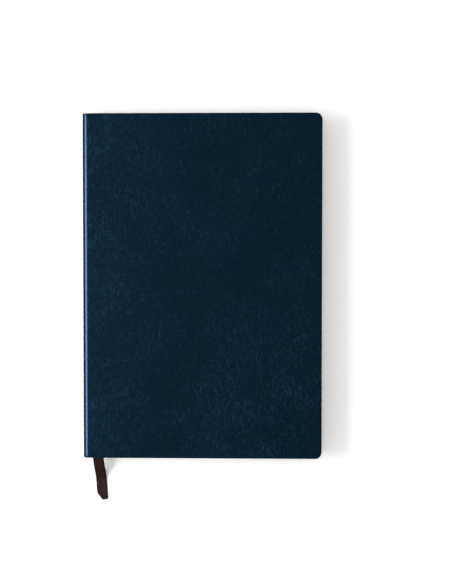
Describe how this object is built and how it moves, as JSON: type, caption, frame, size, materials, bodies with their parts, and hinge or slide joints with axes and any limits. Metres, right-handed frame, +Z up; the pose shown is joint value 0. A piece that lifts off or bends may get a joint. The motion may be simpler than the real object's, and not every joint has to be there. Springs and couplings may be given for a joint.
{
  "type": "pilot logbook",
  "caption": "Casebound flight logbook with a rounded-corner leatherette cover, sewn ruled sections and a ribbon marker; its cover opens alone or the book opens at the middle",
  "frame": {"origin": "centre of the back cover's underside, on the surface the closed book lies on", "axes": "+X from the spine to the fore edge, +Y from the tail to the head, +Z up from the back cover to the front cover"},
  "size_m": [0.1456, 0.2385, 0.0161],
  "materials": {
    "leatherette": "semi-gloss navy coated leatherette with a fine creased grain",
    "board": "grey binder's board",
    "mull": "open-weave cotton mull",
    "endpaper": "uncoated cream endpaper",
    "kraft": "brown kraft paper",
    "page_paper": "uncoated off-white writing paper with ruled log tables",
    "thread": "waxed linen sewing thread",
    "band_cotton": "striped woven cotton band",
    "ribbon_satin": "dark brown woven satin ribbon"
  },
  "bodies": {
    "rear_cover": {"rear_cover_skin": "leatherette", "rear_joint_leather": "leatherette", "rear_board": "board", "rear_mull_flap": "mull", "rear_pastedown": "endpaper", "rear_flyleaf": "endpaper", "section_12": "page_paper", "section_12_thread": "thread", "headband_rear_half": "band_cotton", "tailband_rear_half": "band_cotton"},
    "spine": {"spine_skin": "leatherette", "spine_inlay": "board", "spine_liner": "kraft"},
    "front_block": {"front_joint_leather": "leatherette", "section_01": "page_paper", "section_01_thread": "thread", "headband_front_half": "band_cotton", "tailband_front_half": "band_cotton"},
    "front_cover": {"front_cover_skin": "leatherette", "front_board": "board", "front_mull_flap": "mull", "front_pastedown": "endpaper"},
    "front_flyleaf": {"front_flyleaf": "endpaper"},
    "section_02": {"section_02": "page_paper", "section_02_thread": "thread"},
    "section_03": {"section_03": "page_paper", "section_03_thread": "thread"},
    "section_04": {"section_04": "page_paper", "section_04_thread": "thread"},
    "section_05": {"section_05": "page_paper", "section_05_thread": "thread"},
    "section_06": {"section_06": "page_paper", "section_06_thread": "thread"},
    "section_11": {"section_11": "page_paper", "section_11_thread": "thread"},
    "section_10": {"section_10": "page_paper", "section_10_thread": "thread"},
    "section_09": {"section_09": "page_paper", "section_09_thread": "thread"},
    "section_08": {"section_08": "page_paper", "section_08_thread": "thread"},
    "section_07": {"section_07": "page_paper", "section_07_thread": "thread", "ribbon_run": "ribbon_satin"},
    "ribbon_tail": {"ribbon_tail": "ribbon_satin"}
  },
  "joints": [
    {"name": "book_opening", "type": "hinge", "parent": "rear_cover", "child": "spine", "pos_m": [-0.0729, 0, -0.00015], "axis": [0, -1, 0], "range_deg": [0, 90]},
    {"name": "front_block_turn", "type": "hinge", "parent": "spine", "child": "front_block", "pos_m": [-0.0729, 0, 0.01625], "axis": [0, -1, 0], "range_deg": [0, 90]},
    {"name": "front_cover_hinge", "type": "hinge", "parent": "front_block", "child": "front_cover", "pos_m": [-0.0729, 0, 0.01625], "axis": [0, -1, 0], "range_deg": [0, 180]},
    {"name": "front_flyleaf_lift", "type": "hinge", "parent": "front_block", "child": "front_flyleaf", "pos_m": [-0.07015, 0, 0.01345], "axis": [0, -1, 0], "range_deg": [0, 5.4]},
    {"name": "section_02_shift", "type": "slide", "parent": "front_block", "child": "section_02", "axis": [-1, 0, 0], "range_m": [0, 0.00216]},
    {"name": "section_03_shift", "type": "slide", "parent": "front_block", "child": "section_03", "axis": [-1, 0, 0], "range_m": [0, 0.00432]},
    {"name": "section_04_shift", "type": "slide", "parent": "front_block", "child": "section_04", "axis": [-1, 0, 0], "range_m": [0, 0.00648]},
    {"name": "section_05_shift", "type": "slide", "parent": "front_block", "child": "section_05", "axis": [-1, 0, 0], "range_m": [0, 0.00864]},
    {"name": "section_06_shift", "type": "slide", "parent": "front_block", "child": "section_06", "axis": [-1, 0, 0], "range_m": [0, 0.0108]},
    {"name": "section_11_shift", "type": "slide", "parent": "rear_cover", "child": "section_11", "axis": [-1, 0, 0], "range_m": [0, 0.00216]},
    {"name": "section_10_shift", "type": "slide", "parent": "rear_cover", "child": "section_10", "axis": [-1, 0, 0], "range_m": [0, 0.00432]},
    {"name": "section_09_shift", "type": "slide", "parent": "rear_cover", "child": "section_09", "axis": [-1, 0, 0], "range_m": [0, 0.00648]},
    {"name": "section_08_shift", "type": "slide", "parent": "rear_cover", "child": "section_08", "axis": [-1, 0, 0], "range_m": [0, 0.00864]},
    {"name": "section_07_shift", "type": "slide", "parent": "rear_cover", "child": "section_07", "axis": [-1, 0, 0], "range_m": [0, 0.0108]},
    {"name": "ribbon_lift", "type": "hinge", "parent": "section_07", "child": "ribbon_tail", "pos_m": [-0.0645, -0.10515, 0.00805], "axis": [-1, 0, 0], "range_deg": [0, 90]}
  ],
  "couplings": [
    {"joint": "front_block_turn", "follows": "book_opening", "ratio": 1},
    {"joint": "front_flyleaf_lift", "follows": "front_cover_hinge", "ratio": 0.03},
    {"joint": "section_02_shift", "follows": "book_opening", "m_per_rad": 0.0013751},
    {"joint": "section_03_shift", "follows": "book_opening", "m_per_rad": 0.0027502},
    {"joint": "section_04_shift", "follows": "book_opening", "m_per_rad": 0.0041253},
    {"joint": "section_05_shift", "follows": "book_opening", "m_per_rad": 0.0055004},
    {"joint": "section_06_shift", "follows": "book_opening", "m_per_rad": 0.0068755},
    {"joint": "section_11_shift", "follows": "book_opening", "m_per_rad": 0.0013751},
    {"joint": "section_10_shift", "follows": "book_opening", "m_per_rad": 0.0027502},
    {"joint": "section_09_shift", "follows": "book_opening", "m_per_rad": 0.0041253},
    {"joint": "section_08_shift", "follows": "book_opening", "m_per_rad": 0.0055004},
    {"joint": "section_07_shift", "follows": "book_opening", "m_per_rad": 0.0068755}
  ]
}
